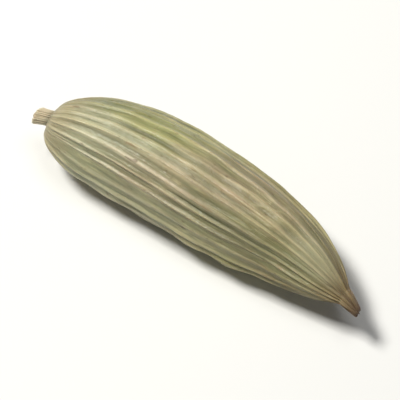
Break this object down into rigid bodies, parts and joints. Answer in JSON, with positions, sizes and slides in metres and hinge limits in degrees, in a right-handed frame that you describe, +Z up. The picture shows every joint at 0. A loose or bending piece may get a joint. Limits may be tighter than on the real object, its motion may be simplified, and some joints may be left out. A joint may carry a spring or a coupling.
{
  "type": "green cardamom pod",
  "caption": "Whole dried green cardamom pod: a closed, ribbed, three-sided husk with a stalk stub and a pinched beak, lying on its side.",
  "frame": {"origin": "under the middle of the pod, on the surface that it lies on", "axes": "+X along the pod from its stalk to its beak, +Y to the side that it bulges towards, +Z up"},
  "size_m": [0.021, 0.006, 0.0052],
  "materials": {
    "husk": "dry papery plant skin, satin, sage green with straw-coloured ribs and tan ends"
  },
  "bodies": {
    "root": {"pod": "husk"}
  },
  "joints": []
}
